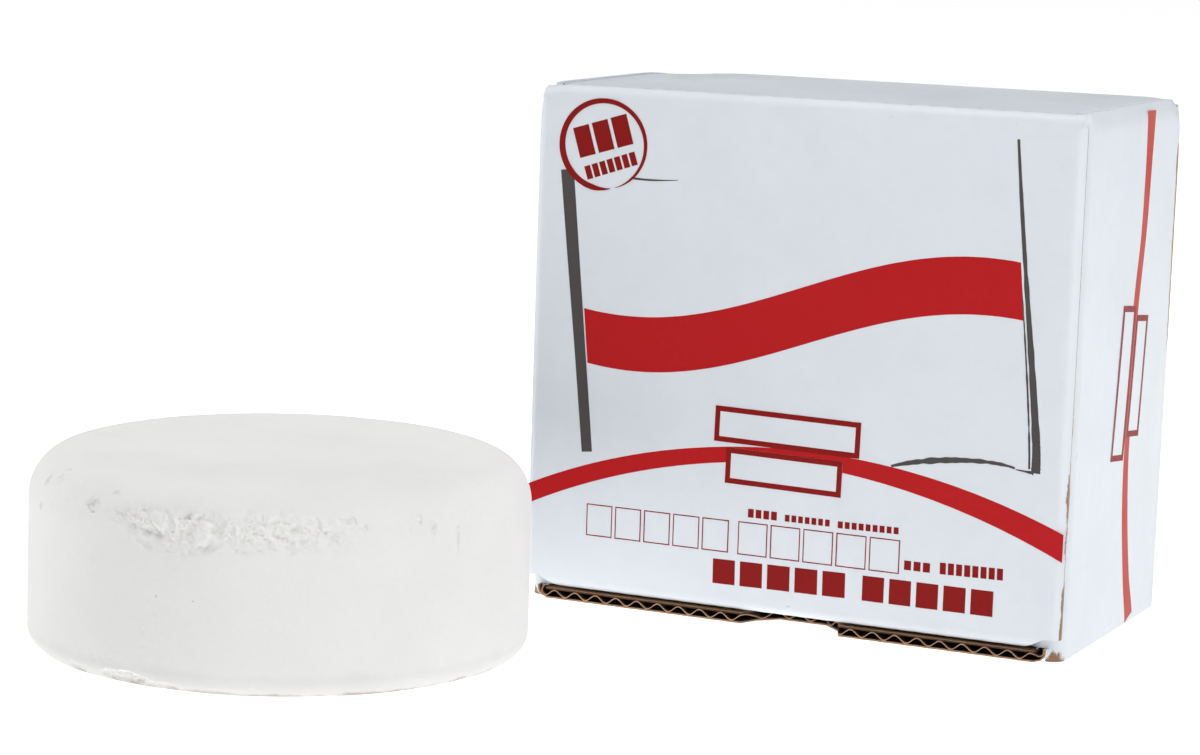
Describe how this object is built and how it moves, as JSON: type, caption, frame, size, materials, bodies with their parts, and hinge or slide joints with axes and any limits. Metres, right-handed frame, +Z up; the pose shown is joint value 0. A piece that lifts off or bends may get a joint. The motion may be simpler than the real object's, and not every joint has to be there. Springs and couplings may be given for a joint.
{
  "type": "chalk block with folded carton",
  "caption": "Round pressed chalk block standing beside its folded, locked carton of corrugated board, with a hinged lid and tuck flap.",
  "frame": {"origin": "middle of the carton's underside", "axes": "+Z up, +X to the right along the carton's width, +Y to the carton's back; the lid faces -Y"},
  "size_m": [0.1275, 0.1246, 0.0735],
  "materials": {
    "white_board": "white coated liner, semi-gloss",
    "kraft_board": "plain brown kraft, matte",
    "print_red": "offset ink on coated liner",
    "print_dark": "offset ink on coated liner",
    "chalk": "pressed powder, matte"
  },
  "bodies": {
    "carton": {"back_panel": "white_board", "bottom_wall": "white_board", "top_wall": "white_board", "left_outer_end_wall": "white_board", "right_outer_end_wall": "white_board", "left_rolled_edge": "white_board", "right_rolled_edge": "white_board", "left_inner_end_wall": "white_board", "right_inner_end_wall": "white_board", "left_bottom_ear": "kraft_board", "right_bottom_ear": "kraft_board", "left_top_ear": "kraft_board", "right_top_ear": "kraft_board"},
    "lid": {"front_lid": "white_board"},
    "flap": {"tuck_flap": "white_board"},
    "block": {"chalk_block": "chalk"}
  },
  "joints": [
    {"name": "lid_hinge", "type": "hinge", "parent": "carton", "child": "lid", "pos_m": [0, -0.0216, 0.072], "axis": [-1, 0, 0], "range_deg": [0, 100]},
    {"name": "tuck_flap_hinge", "type": "hinge", "parent": "lid", "child": "flap", "pos_m": [0, -0.0216, 0.0033], "axis": [-1, 0, 0], "range_deg": [0, 108]},
    {"name": "block_slide", "type": "slide", "parent": "carton", "child": "block", "axis": [-1, 0, 0], "range_m": [0, 0.06]}
  ],
  "couplings": [
    {"joint": "lid_hinge", "follows": "block_slide", "rad_per_m": 29.089},
    {"joint": "tuck_flap_hinge", "follows": "block_slide", "rad_per_m": 31.416}
  ]
}
